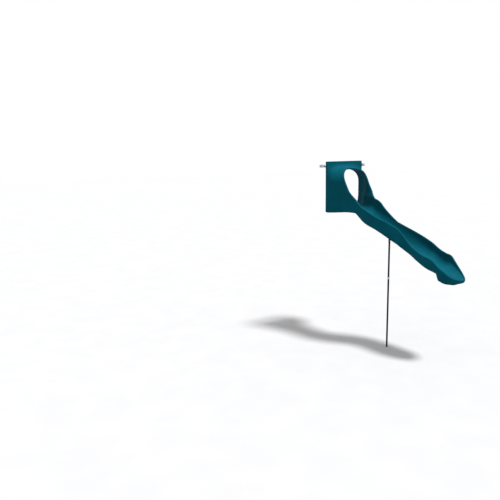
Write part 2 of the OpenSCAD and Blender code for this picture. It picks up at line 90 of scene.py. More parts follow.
class Reading:
    """A number that varies over a surface, with arithmetic that adds Math nodes."""

    def __init__(self, bench: "Bench", socket: bpy.types.NodeSocket) -> None:
        """Keeps the socket and the bench that it stands on.

        Args:
            bench: the material's node bench.
            socket: the output socket that carries the number.
        """
        self.bench = bench
        self.socket = socket

    def _math(self, operation: str, *others: "Reading | float", flip: bool = False) -> "Reading":
        """Adds one Math node.

        Args:
            operation: the Math node's operation.
            others: the second operand, if it has one.
            flip: whether this reading is the second operand.

        Returns:
            The result as a reading.
        """
        values = [*others, self] if flip else [self, *others]
        return self.bench.add("ShaderNodeMath", {"operation": operation},
                              dict(enumerate(values)))

    def __add__(self, other: "Reading | float") -> "Reading":
        """Sum."""
        return self._math("ADD", other)

    __radd__ = __add__

    def __mul__(self, other: "Reading | float") -> "Reading":
        """Product."""
        return self._math("MULTIPLY", other)

    __rmul__ = __mul__

    def __sub__(self, other: "Reading | float") -> "Reading":
        """Difference."""
        return self._math("SUBTRACT", other)

    def __rsub__(self, other: "Reading | float") -> "Reading":
        """Difference from a number on the left, as in 1 - mask."""
        return self._math("SUBTRACT", other, flip=True)

    def __truediv__(self, other: "Reading | float") -> "Reading":
        """Quotient."""
        return self._math("DIVIDE", other)

    def __abs__(self) -> "Reading":
        """Absolute value."""
        return self._math("ABSOLUTE")

    def ramp(self, low: float, high: float) -> "Reading":
        """Maps low..high smoothly to 0..1, and holds the ends.

        Args:
            low: the reading that gives 0.
            high: the reading that gives 1.

        Returns:
            The mapped reading.
        """
        return self.bench.add("ShaderNodeMapRange", {"interpolation_type": "SMOOTHSTEP"},
                              {"Value": self, "From Min": low, "From Max": high})


@dataclass
class Bench:
    """The node tree of one material and the one way that nodes are added to it."""

    name: str
    material: bpy.types.Material = field(init=False)

    def __post_init__(self) -> None:
        """Makes an empty node material."""
        self.material = bpy.data.materials.new(self.name)
        self.material.use_nodes = True
        self.tree = self.material.node_tree
        self.tree.nodes.clear()

    def node(self, kind: str, settings: dict | None = None, sockets: dict | None = None
             ) -> bpy.types.Node:
        """Adds a node: its settings first, then the values or links of its sockets.

        Args:
            kind: the node's type.
            settings: attributes of the node.
            sockets: values, readings or sockets by socket name, identifier or number.

        Returns:
            The node.
        """
        made = self.tree.nodes.new(kind)
        for key, value in (settings or {}).items():
            setattr(made, key, value)
        for key, value in (sockets or {}).items():
            if isinstance(key, int):
                target = made.inputs[key]
            else:
                named = [s for s in made.inputs if s.identifier == key] or \
                    [s for s in made.inputs if s.name == key and s.enabled]
                target = named[0]
            if isinstance(value, Reading):
                value = value.socket
            if isinstance(value, bpy.types.NodeSocket):
                self.tree.links.new(value, target)
            else:
                target.default_value = value
        return made

    def add(self, kind: str, settings: dict | None = None, sockets: dict | None = None,
            out: str | int = 0) -> Reading:
        """Adds a node and reads one of its outputs.

        Args:
            kind: the node's type.
            settings: attributes of the node.
            sockets: values or links by socket.
            out: the output's name or number.

        Returns:
            The output as a reading.
        """
        made = self.node(kind, settings, sockets)
        if isinstance(out, str):
            return Reading(self, [s for s in made.outputs if out in (s.identifier, s.name)][0])
        return Reading(self, [s for s in made.outputs if s.enabled][out])

    def place(self) -> Reading:
        """The point's place on the object, in metres."""
        return self.add("ShaderNodeTexCoord", out="Object")

    def stretch(self, vector: Reading, scale: tuple[float, float, float]) -> Reading:
        """A vector scaled along each axis.

        Args:
            vector: the vector.
            scale: the scale along each axis.

        Returns:
            The new vector.
        """
        return self.add("ShaderNodeMapping", {"vector_type": "POINT"},
                        {"Vector": vector, "Scale": scale})

    def noise(self, vector: Reading, scale: float, detail: float = 3.0, rough: float = 0.5,
              warp: float = 0.0) -> Reading:
        """Noise between 0 and 1.

        Args:
            vector: where it is read.
            scale: features a metre.
            detail: octaves.
            rough: how strong the fine octaves are.
            warp: distortion.

        Returns:
            The noise.
        """
        return self.add("ShaderNodeTexNoise", None,
                        {"Vector": vector, "Scale": scale, "Detail": detail,
                         "Roughness": rough, "Distortion": warp}, "Fac")

    def cells(self, vector: Reading, scale: float) -> Reading:
        """Distance to the nearest of a scatter of points.

        Args:
            vector: where it is read.
            scale: points a metre.

        Returns:
            The distance.
        """
        return self.add("ShaderNodeTexVoronoi", {"feature": "F1"},
                        {"Vector": vector, "Scale": scale}, "Distance")

    def blend(self, share: Reading, first: Reading | tuple, second: Reading | tuple) -> Reading:
        """Mixes two colours.

        Args:
            share: how much of the second.
            first: the first colour.
            second: the second colour.

        Returns:
            The colour.
        """
        return self.add("ShaderNodeMix", {"data_type": "RGBA", "blend_type": "MIX"},
                        {"Factor_Float": share, "A_Color": first, "B_Color": second},
                        "Result_Color")

    def facing_up(self) -> Reading:
        """How far the surface faces up, from -1 to 1."""
        normal = self.node("ShaderNodeNewGeometry").outputs["Normal"]
        return self.add("ShaderNodeSeparateXYZ", None, {"Vector": normal}, "Z")

    def relief(self, height: Reading, distance: float, strength: float,
               under: Reading | None = None) -> Reading:
        """A bump.

        Args:
            height: the height from 0 to 1.
            distance: the real height of 1, in metres.
            strength: the bump's strength.
            under: another bump that it lies on.

        Returns:
            The normal.
        """
        sockets: dict = {"Height": height, "Distance": distance, "Strength": strength}
        if under is not None:
            sockets["Normal"] = under
        return self.add("ShaderNodeBump", None, sockets, "Normal")

    def finish(self, sockets: dict) -> bpy.types.Material:
        """Ends the tree in one Principled shader.

        Args:
            sockets: the shader's values and links.

        Returns:
            The material.
        """
        shader = self.node("ShaderNodeBsdfPrincipled", None, sockets)
        self.node("ShaderNodeOutputMaterial", None, {"Surface": shader.outputs[0]})
        return self.material


# --------------------------------------------------------------------------- finishes


def rgba(red: float, green: float, blue: float) -> tuple[float, float, float, float]:
    """A colour from display values of 0 to 255.

    Args:
        red: red.
        green: green.
        blue: blue.

    Returns:
        The linear colour with full alpha.
    """
    def linear(v: float) -> float:
        """One channel in linear light."""
        c = v / 255
        return c / 12.92 if c <= 0.04045 else ((c + 0.055) / 1.055) ** 2.4
    return (linear(red), linear(green), linear(blue), 1.0)


@dataclass(frozen=True)
class MouldedPolyethylene:
    """Rotationally moulded teal polyethylene: low gloss, fine grain, sun fade, rider's wear, and
    painted shade on faces that point down.
    """

    name: str = "moulded teal polyethylene"
    body: tuple = rgba(3, 66, 78)
    deep: tuple = rgba(3, 60, 72)
    faded: tuple = rgba(9, 75, 88)
    worn: bool = False

    def build(self) -> bpy.types.Material:
        """The material.

        Returns:
            The material.
        """
        b = Bench(self.name)
        place = b.place()
        cloud = b.noise(place, 2.6, 5, 0.6, 0.4)
        fleck = b.noise(place, 420, 2, 0.6)
        up = b.facing_up()
        sky = up.ramp(0.15, 0.95)
        colour = b.blend(cloud.ramp(0.32, 0.68), self.deep, self.body)
        colour = b.blend(sky * cloud.ramp(0.3, 0.75) * 0.4, colour, self.faded)
        colour = b.blend(fleck.ramp(0.56, 0.74) * 0.3, colour, self.faded)
        colour = b.blend((1 - fleck).ramp(0.56, 0.74) * 0.3, colour, rgba(1, 38, 47))
        grain = b.cells(place, 260)
        pucker = b.noise(place, 34, 2, 0.5)
        rough = 0.5 + cloud * 0.1 + fleck * 0.06
        height = grain * 0.35 + pucker * 0.65
        if self.worn:
            run = b.add("ShaderNodeUVMap", {"uv_map": "run"})
            long = b.noise(b.stretch(run, (3.0, 190.0, 1.0)), 1.0, 5, 0.62, 0.15)
            fine = b.noise(b.stretch(run, (9.0, 900.0, 1.0)), 1.0, 3, 0.6)
            across = b.add("ShaderNodeSeparateXYZ", None, {"Vector": run}, "Y")
            track = (1 - abs(across) / 0.24).ramp(0.0, 0.75) * up.ramp(0.35, 0.8)
            scuff = (long.ramp(0.54, 0.7) * 0.6 + fine.ramp(0.6, 0.74) * 0.5) * track
            colour = b.blend(scuff * 0.42, colour, rgba(44, 104, 116))
            polish = track * long.ramp(0.35, 0.6)
            rough = rough - polish * 0.1 + scuff * 0.12
            dust = b.noise(place, 9, 5, 0.62).ramp(0.5, 0.78) * up.ramp(0.75, 1.0)
            colour = b.blend(dust * 0.1, colour, rgba(70, 104, 108))
            rough = rough + dust * 0.15
        # Painted shade: faces that point down are darkened towards rgba(1, 46, 57), standing in for
        # the shade under the keel and belly.
        low = (1 - up).ramp(1.2, 1.95)
        colour = b.blend(low * 0.35, colour, rgba(1, 46, 57))
        normal = b.relief(height, 0.0008, 0.5)
        normal = b.relief(fleck, 0.0001, 0.25, normal)
        return b.finish({"Base Color": colour, "Roughness": rough, "Normal": normal,
                         "Specular IOR Level": 0.01, "IOR": 1.5})


@dataclass(frozen=True)
class PowderCoat:
    """Powder coat on steel: orange peel, a soft gloss, chips along handled edges."""

    name: str = "navy powder coat"
    body: tuple = rgba(3, 10, 24)
    high: tuple = rgba(8, 18, 36)

    def build(self) -> bpy.types.Material:
        """The material.

        Returns:
            The material.
        """
        b = Bench(self.name)
        place = b.place()
        peel = b.noise(place, 240, 2, 0.5)
        cloud = b.noise(place, 5, 4, 0.5)
        nick = b.cells(place, 55).ramp(0.1, 0.04) * b.noise(place, 12, 3).ramp(0.56, 0.66)
        colour = b.blend(cloud.ramp(0.35, 0.7) * 0.5, self.body, self.high)
        colour = b.blend(peel.ramp(0.58, 0.75) * 0.25, colour, self.high)
        colour = b.blend(nick * 0.5, colour, rgba(96, 102, 110))
        dust = b.facing_up().ramp(0.4, 1.0) * b.noise(place, 18, 4).ramp(0.4, 0.75)
        colour = b.blend(dust * 0.08, colour, rgba(120, 124, 128))
        rough = 0.34 + peel * 0.12 + nick * 0.2 + dust * 0.2
        normal = b.relief(peel, 0.0003, 0.4)
        normal = b.relief(1 - nick, 0.0002, 0.5, normal)
        return b.finish({"Base Color": colour, "Roughness": rough, "Normal": normal,
                         "Coat Weight": 0.03, "Coat Roughness": 0.25, "IOR": 1.5,
                         "Specular IOR Level": 0.08})


@dataclass(frozen=True)
class CastAluminium:
    """Tumbled aluminium casting: fine sand grain, dull grey, brighter where it is rubbed."""

    name: str = "cast aluminium"
    body: tuple = rgba(186, 189, 192)
    dull: tuple = rgba(142, 146, 150)

    def build(self) -> bpy.types.Material:
        """The material.

        Returns:
            The material.
        """
        b = Bench(self.name)
        place = b.place()
        sand = b.noise(place, 900, 3, 0.65)
        cloud = b.noise(place, 26, 4, 0.55)
        pit = b.cells(place, 420).ramp(0.16, 0.05)
        colour = b.blend(cloud.ramp(0.3, 0.72), self.body, self.dull)
        colour = b.blend(pit * 0.5, colour, rgba(84, 88, 92))
        rough = 0.42 + sand * 0.16 + cloud * 0.08
        normal = b.relief(sand, 0.0002, 0.5)
        normal = b.relief(1 - pit, 0.0003, 0.5, normal)
        return b.finish({"Base Color": colour, "Roughness": rough, "Normal": normal,
                         "Metallic": 0.75})


@dataclass(frozen=True)
class PlatedSteel:
    """Zinc plated or turned metal with faint tool lines and a mottled bright skin."""

    name: str = "zinc plated steel"
    body: tuple = rgba(176, 179, 182)
    tone: tuple = rgba(132, 134, 130)
    gloss: float = 0.28

    def build(self) -> bpy.types.Material:
        """The material.

        Returns:
            The material.
        """
        b = Bench(self.name)
        place = b.place()
        mottle = b.noise(place, 150, 4, 0.6, 0.4)
        line = b.noise(b.stretch(place, (2200, 40, 40)), 1.0, 2)
        stain = b.noise(place, 48, 3).ramp(0.55, 0.75)
        colour = b.blend(mottle.ramp(0.35, 0.7), self.body, self.tone)
        colour = b.blend(stain * 0.35, colour, rgba(112, 104, 92))
        rough = self.gloss + mottle * 0.16 + stain * 0.12
        normal = b.relief(line * 0.5 + mottle * 0.5, 0.00012, 0.5)
        return b.finish({"Base Color": colour, "Roughness": rough, "Normal": normal,
                         "Metallic": 0.95})


@dataclass(frozen=True)
class BlackRubber:
    """Matt black rubber with a bloom and a fine grain."""

    name: str = "black rubber"
    body: tuple = rgba(28, 28, 29)

    def build(self) -> bpy.types.Material:
        """The material.

        Returns:
            The material.
        """
        b = Bench(self.name)
        place = b.place()
        grain = b.noise(place, 700, 3, 0.6)
        bloom = b.noise(place, 30, 4, 0.6).ramp(0.42, 0.72)
        colour = b.blend(bloom * 0.5, self.body, rgba(58, 58, 60))
        rough = 0.72 + grain * 0.14
        return b.finish({"Base Color": colour, "Roughness": rough,
                         "Normal": b.relief(grain, 0.0003, 0.5)})


@dataclass(frozen=True)
class PaleFloor:
    """Pale matt studio floor."""

    name: str = "pale studio floor"
    body: tuple = rgba(164, 164, 165)

    def build(self) -> bpy.types.Material:
        """The material.

        Returns:
            The material.
        """
        b = Bench(self.name)
        mottle = b.noise(b.place(), 1.5, 3)
        colour = b.blend(mottle.ramp(0.3, 0.7), self.body, rgba(162, 162, 163))
        return b.finish({"Base Color": colour, "Roughness": 0.9, "Specular IOR Level": 0.1})


# --------------------------------------------------------------------------- meshes


@dataclass
class Draft:
    """Points and faces of a mesh in the making, in millimetres."""

    name: str
    points: list = field(default_factory=list)
    faces: list = field(default_factory=list)
    run: list = field(default_factory=list)

    def grid(self, rows: np.ndarray, run: np.ndarray | None = None, flip: bool = False) -> int:
        """Adds a sheet of quads over rows of points, each of which closes on itself.

        Args:
            rows: points as [row, column, xyz].
            run: distance along and across the chute for each point, in metres.
            flip: whether the faces turn the other way.

        Returns:
            The number of the first point.
        """
        n, m = rows.shape[:2]
        start = len(self.points)
        self.points.extend(rows.reshape(-1, 3).tolist())
        uv = np.zeros((n * m, 2)) if run is None else run.reshape(-1, 2)
        self.run.extend(uv.tolist())
        for i in range(n - 1):
            for j in range(m):
                a, b = start + i * m + j, start + i * m + (j + 1) % m
                face = [a, b, b + m, a + m]
                self.faces.append(face[::-1] if flip else face)
        return start

    def cap(self, start: int, count: int, flip: bool = False) -> None:
        """Closes a row with one face.

        Args:
            start: the row's first point.
            count: the number of points in the row.
            flip: whether the face turns the other way.
        """
        face = list(range(start, start + count))
        self.faces.append(face[::-1] if flip else face)

    def build(self, material: bpy.types.Material, slot: Slot, nodes: tuple[str, ...],
              sharp: float) -> bpy.types.Object:
        """Makes the object, gives it its finish and stands it for its CAD nodes.

        Args:
            material: the finish.
            slot: the record's slot; not used.
            nodes: the CAD nodes that it replaces.
            sharp: the angle in degrees above which an edge stays sharp.

        Returns:
            The object.
        """
        mesh = bpy.data.meshes.new(self.name)
        mesh.from_pydata((np.array(self.points) * MM).tolist(), [], self.faces)
        mesh.update()
        layer = mesh.uv_layers.new(name="run")
        loops = np.zeros(len(mesh.loops), dtype=np.int32)
        mesh.loops.foreach_get("vertex_index", loops)
        layer.data.foreach_set("uv", np.array(self.run)[loops].astype(np.float32).ravel())
        mesh.shade_smooth()
        mesh.set_sharp_from_angle(angle=math.radians(sharp))
        made = bpy.data.objects.new(self.name, mesh)
        bpy.context.scene.collection.objects.link(made)
        mesh.materials.append(material)
        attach(made, "root")
        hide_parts(*nodes)
        LOG.info("%s: %d faces for %s", self.name, len(self.faces), ", ".join(nodes))
        return made


def smooth(x: float) -> float:
    """Eases from 0 to 1."""
    c = min(1.0, max(0.0, x))
    return c * c * (3 - 2 * c)


def lerp(a: float, b: float, t: float) -> float:
    """The value a share t of the way from a to b."""
    return a + (b - a) * t


def curve(table: list[list[float]], column: int, x: float) -> float:
    """Smooth curve through one column of a table whose first column rises.

    Args:
        table: the rows.
        column: the column to read.
        x: where to read it.

    Returns:
        The value.
    """
    i = 0
    while i < len(table) - 2 and x >= table[i + 1][0]:
        i += 1

    def slope(j: int) -> float:
        """The slope at a row."""
        a, b = max(0, j - 1), min(len(table) - 1, j + 1)
        return (table[b][column] - table[a][column]) / (table[b][0] - table[a][0])
    a, b = table[i], table[i + 1]
    h = b[0] - a[0]
    t = min(1.0, max(0.0, (x - a[0]) / h))
    s = 1 - t
    first = 0.0 if i == 0 else slope(i)
    return s * s * (1 + 2 * t) * a[column] + t * t * (3 - 2 * t) * b[column] \
        + h * (t * s * s * first - t * t * s * slope(i + 1))


@dataclass(frozen=True)
class SlideSizes:
    """Sizes of the slide and the line that its chute follows, in millimetres and degrees."""

    deck_h: float = 1524
    exit_h: float = 235
    deck_z: float = 45
    lead_in: float = 1145
    bend_r: float = 900
    bend_a: float = 44
    lead_out: float = 1128
    chute_w: float = 660
    wall_t: float = 45
    bed_t: float = 46
    entry_bed_t: float = 87
    trough_r: float = 190
    keel_r: float = 45
    nose_l: float = 685
    foot_l: float = 520
    foot_h: float = 125
    foot_step: float = 75
    heel_lift: float = 60
    heel_rate: float = 2.2
    toe_lift: float = 70
    toe_from: float = 0.72
    taper_l: float = 700
    bed_end: float = 20
    seam_gap: float = 0.1
    entry_w: float = 1134
    door_w: float = 1000
    panel_x: float = 64.5
    panel_t: float = 55
    panel_top: float = 1166
    seam_h: float = 276
    arch_h: float = 971
    spring_h: float = 620
    hood_reach: float = 915
    rim_grow: float = 90
    crown_reach: float = 335
    flare_l: float = 480
    hood_bulge: float = 60
    flange_t: float = 6
    flange_reach: float = 130
    post_d: float = 89
    post_span: float = 1308
    clamp_h: float = 64
    clamp_t: float = 7
    clamp_drop: float = 110
    leg_d: float = 42
    leg_s: float = 1670
    leg_side: float = 117
    leg_bury: float = 1710

    @property
    def grade_z(self) -> float:
        """Height of the ground."""
        return self.deck_z - self.deck_h

    @property
    def seam_z(self) -> float:
        """Height of the seam between chute and hood."""
        return self.deck_z + self.seam_h

    @property
    def front_x(self) -> float:
        """Front of the hood panel."""
        return self.panel_x + self.panel_t

    @property
    def arc_l(self) -> float:
        """Length of one bend."""
        return math.radians(self.bend_a) * self.bend_r

    @property
    def path_l(self) -> float:
        """Length of the chute's centreline in plan."""
        return self.lead_in + 2 * self.arc_l + self.lead_out

    @property
    def foot_s(self) -> float:
        """Where the moulded foot starts."""
        return self.path_l - self.foot_l

    @property
    def nose_s(self) -> float:
        """Where the rounded nose starts."""
        return self.path_l - self.nose_l

    @property
    def wave(self) -> list[list[float]]:
        """Share of the path, share of the drop, right wall and left wall above the bed.

        Returns:
            Rows from the deck to the exit.
        """
        return [
            [0.000, 0.000, self.seam_h, self.seam_h], [0.240, 0.000, self.seam_h, self.seam_h],
            [0.274, 0.050, 277, 322], [0.301, 0.103, 278, 343], [0.343, 0.180, 295, 345],
            [0.383, 0.235, 270, 325], [0.424, 0.312, 292, 335], [0.465, 0.406, 324, 363],
            [0.506, 0.502, 339, 396], [0.548, 0.563, 300, 370], [0.588, 0.613, 243, 343],
            [0.629, 0.661, 195, 313], [0.670, 0.709, 181, 283], [0.711, 0.760, 195, 258],
            [0.752, 0.813, 205, 254], [0.793, 0.853, 228, 259], [0.835, 0.877, 206, 254],
            [0.876, 0.909, 130, 163], [0.909, 0.936, 88, 102], [0.941, 0.963, 42, 58],
            [0.974, 0.987, 14, 18], [1.000, 1.000, 6, 6]]

    @property
    def rim_line(self) -> list[list[float]]:
        """Share of the height from seam to crown, share of the reach from crown to seam."""
        return [[-0.06, 1.13], [0, 1], [0.08, 0.87], [0.24, 0.7], [0.47, 0.5], [0.71, 0.34],
                [0.85, 0.25], [0.95, 0.15], [1, 0]]

    def heading(self, s: float) -> float:
        """Heading of the path in radians at a distance along it.

        Args:
            s: distance along the path.

        Returns:
            The heading.
        """
        a = math.degrees((s - self.lead_in) / self.bend_r)
        turned = 0 if a <= 0 else a if a <= self.bend_a else max(0, 2 * self.bend_a - a)
        return math.radians(turned)

    def path(self, s: float) -> tuple[float, float]:
        """Point of the path in plan.

        Args:
            s: distance along the path.

        Returns:
            Its x and y.
        """
        h, a, r = self.heading(s), math.radians(self.bend_a), self.bend_r
        reach = 2 * r * math.sin(a)
        if s <= self.lead_in:
            return s, 0.0
        if s <= self.lead_in + self.arc_l:
            return self.lead_in + r * math.sin(h), r * (1 - math.cos(h))
        if s <= self.lead_in + 2 * self.arc_l:
            return (self.lead_in + reach - r * math.sin(h),
                    r * (1 - 2 * math.cos(a) + math.cos(h)))
        return reach + s - 2 * self.arc_l, 2 * r * (1 - math.cos(a))

    def bed_z(self, s: float) -> float:
        """Height of the bed."""
        return self.deck_z - (self.deck_h - self.exit_h) * curve(self.wave, 1, s / self.path_l)

    def wall_h(self, s: float, side: Side) -> float:
        """Height of a wall above the bed."""
        return curve(self.wave, 2 if side is Side.RIGHT else 3, s / self.path_l)

    def rim_z(self, s: float, side: Side) -> float:
        """Height of a wall's top.

        Args:
            s: distance along the path.
            side: which wall.

        Returns:
            The height.
        """
        if s < self.panel_x:
            return self.deck_z
        if s < self.hood_reach:
            return self.seam_z - self.seam_gap
        return self.bed_z(s) + self.wall_h(s, side)

    def foot_z(self, s: float) -> float:
        """Height of the foot's underside.

        Args:
            s: distance along the path.

        Returns:
            The height.
        """
        t = min(1.0, max(0.0, (s - self.foot_s) / self.foot_l))
        return self.grade_z + self.foot_h + self.heel_lift * (1 - smooth(t * self.heel_rate)) \
            + self.toe_lift * smooth((t - self.toe_from) / (1 - self.toe_from))

    def under_z(self, s: float) -> float:
        """Height of the chute's underside.

        Args:
            s: distance along the path.

        Returns:
            The height.
        """
        share = min(1.0, max(0.0, (s - self.front_x) / self.taper_l))
        entry = lerp(self.entry_bed_t, self.bed_t, share)
        return lerp(self.bed_z(s) - entry, self.foot_z(s),
                    smooth((s - self.foot_s) / self.foot_step))

    def nose(self, s: float) -> float:
        """Share of the width that is left in the rounded nose.

        Args:
            s: distance along the path.

        Returns:
            The share.
        """
        if s <= self.nose_s:
            return 1.0
        return math.sqrt(max(0.0, 1 - ((s - self.nose_s) / self.nose_l) ** 2))

    def outer_w(self, s: float) -> float:
        """Half of the outer width.

        Args:
            s: distance along the path.

        Returns:
            The half width.
        """
        if s < self.panel_x:
            return self.door_w / 2
        flare = 1 - smooth((s - self.front_x) / self.flare_l)
        return lerp(self.chute_w / 2, self.entry_w / 2, flare) * self.nose(s)

    def wall_w(self, s: float) -> float:
        """Width of a wall.

        Args:
            s: distance along the path.

        Returns:
            The width.
        """
        if s < self.panel_x:
            return self.bed_end
        flare = 1 - smooth((s - self.front_x) / self.flare_l)
        return min(lerp(self.wall_t, (self.entry_w - self.door_w) / 2, flare),
                   self.outer_w(s) * 0.3)

    def put(self, s: float, across: float, height: float) -> tuple[float, float, float]:
        """A point of a section in the row frame.

        Args:
            s: distance along the path.
            across: distance to the left of the path.
            height: its height.

        Returns:
            The point.
        """
        h = self.heading(s)
        x, y = self.path(s)
        return x - across * math.sin(h), y + across * math.cos(h), height


SIZES = SlideSizes()


def arc(start: float, end: float, steps: int) -> list[float]:
    """Angles in radians from start to end degrees.

    Args:
        start: first angle.
        end: last angle.
        steps: number of steps.

    Returns:
        The angles.
    """
    return [math.radians(lerp(start, end, i / steps)) for i in range(steps + 1)]


@dataclass
class Chute:
    """The double-wall chute: a rounded trough with a rolled rim, a soft keel and a foot."""

    sizes: SlideSizes = SIZES
    rim_steps: int = 6
    wall_steps: int = 5
    keel_steps: int = 6
    bed_steps: int = 7
    trough_steps: int = 12

    def roll(self, s: float, side: Side) -> float:
        """Radius of the rolled rim, which grows out of the flat seam under the hood.

        Args:
            s: distance along the path.
            side: which wall.

        Returns:
            The radius.
        """
        z = self.sizes
        full = min(z.wall_w(s) / 2, 0.6 * z.wall_h(s, side) + 2)
        return lerp(2.0, full, smooth((s - z.hood_reach) / z.rim_grow))

    def outside(self, s: float, side: Side, e: float) -> list[tuple[float, float]]:
        """Half of the outside from the rim's top to the keel.

        Args:
            s: distance along the path.
            side: which wall.
            e: distance in from the moulded surface.

        Returns:
            Points as across and height.
        """
        z = self.sizes
        w, t, top = z.outer_w(s) - e, z.wall_w(s) / 2 - e, z.rim_z(s, side) - e
        roll = self.roll(s, side)
        r, low = max(1.0, roll - e), z.under_z(s) + e
        k = min(max(2.0, z.keel_r - e), (top - r - low) * 0.45, w * 0.6)
        pts = [(w - t + t * math.cos(a), top - r + r * math.sin(a))
               for a in arc(90, 0, self.rim_steps)]
        pts += [(w, lerp(top - r, low + k, i / self.wall_steps))
                for i in range(1, self.wall_steps)]
        pts += [(w - k + k * math.cos(a), low + k - k * math.sin(a))
                for a in arc(0, 90, self.keel_steps)]
        pts += [((w - k) * (1 - i / self.bed_steps), low)
                for i in range(1, self.bed_steps + 1)]
        return pts

    def inside(self, s: float, side: Side, e: float) -> list[tuple[float, float]]:
        """Half of the inside from the rim's top to the middle of the bed.

        Args:
            s: distance along the path.
            side: which wall.
            e: distance in from the rim's top.

        Returns:
            Points as across and height.
        """
        z = self.sizes
        t, top = z.wall_w(s) / 2, z.rim_z(s, side) - e
        w, bed = z.outer_w(s) - z.wall_w(s), z.bed_z(s)
        roll = self.roll(s, side)
        r = max(1.0, roll - e)
        across = min(z.trough_r, w * 0.8)
        up = max(0.5, (top - r - bed) * 0.96)
        pts = [(w + t - t * math.cos(a), top - r + r * math.sin(a))
               for a in arc(90, 0, self.rim_steps)]
        pts += [(w - across + across * math.cos(a), bed + up - up * math.sin(a))
                for a in arc(0, 90, self.trough_steps)]
        pts += [((w - across) * (1 - i / self.bed_steps), bed)
                for i in range(1, self.bed_steps + 1)]
        return pts

    def ring(self, s: float, e: float) -> tuple[list, list]:
        """One closed ring of the chute and the place of each point along and across it.

        Args:
            s: distance along the path.
            e: inset of the outside.

        Returns:
            Points in millimetres, and pairs of distances in metres.
        """
        def chain(right: list, left: list) -> list:
            """From the right rim across the middle to the left rim."""
            return [(-a, b) for a, b in right] + left[-2::-1]
        out = chain(self.outside(s, Side.RIGHT, e), self.outside(s, Side.LEFT, e))
        back = chain(self.inside(s, Side.RIGHT, e), self.inside(s, Side.LEFT, e))
        section = out + back[-2:0:-1]
        return ([self.sizes.put(s, a, b) for a, b in section],
                [(s * MM, a * MM) for a, b in section])

    def stations(self) -> list[tuple[float, float]]:
        """Distances along the path with the inset of the outside at each.

        Returns:
            Pairs of distance and inset.
        """
        z = self.sizes
        made = [(z.flange_t + 1 + d, e) for d, e in ((0, 4), (1.2, 1.2), (4, 0))]
        made += [(z.panel_x - 0.1, 0)]
        made += [(z.panel_x + d, e) for d, e in ((0, 5), (0.4, 3.2), (1.6, 1.4), (3.2, 0.3),
                                                 (5, 0))]
        made += [(s, 0) for s in np.linspace(z.front_x - 25, z.hood_reach - 0.5, 44)]
        made += [(s, 0) for s in np.linspace(z.hood_reach, z.foot_s, 120)]
        step_s = z.foot_s + z.foot_step
        made += [(s, 0) for s in np.linspace(z.foot_s, step_s, 11)[1:]]
        first = math.degrees(math.asin((step_s - z.nose_s) / z.nose_l))
        made += [(z.nose_s + z.nose_l * math.sin(a), 0) for a in arc(first, 89.4, 44)[1:]]
        return made

    def build(self, finish: MouldedPolyethylene) -> bpy.types.Object:
        """The chute's object.

        Args:
            finish: its finish.

        Returns:
            The object.
        """
        rings = [self.ring(s, e) for s, e in self.stations()]
        rows = np.array([r[0] for r in rings])
        draft = Draft("chute_moulding")
        start = draft.grid(rows, np.array([r[1] for r in rings]))
        count = rows.shape[1]
        draft.cap(start, count, flip=True)
        draft.cap(start + (len(rings) - 1) * count, count)
        return draft.build(finish.build(), Slot.TEAL, ("chute",), 50)


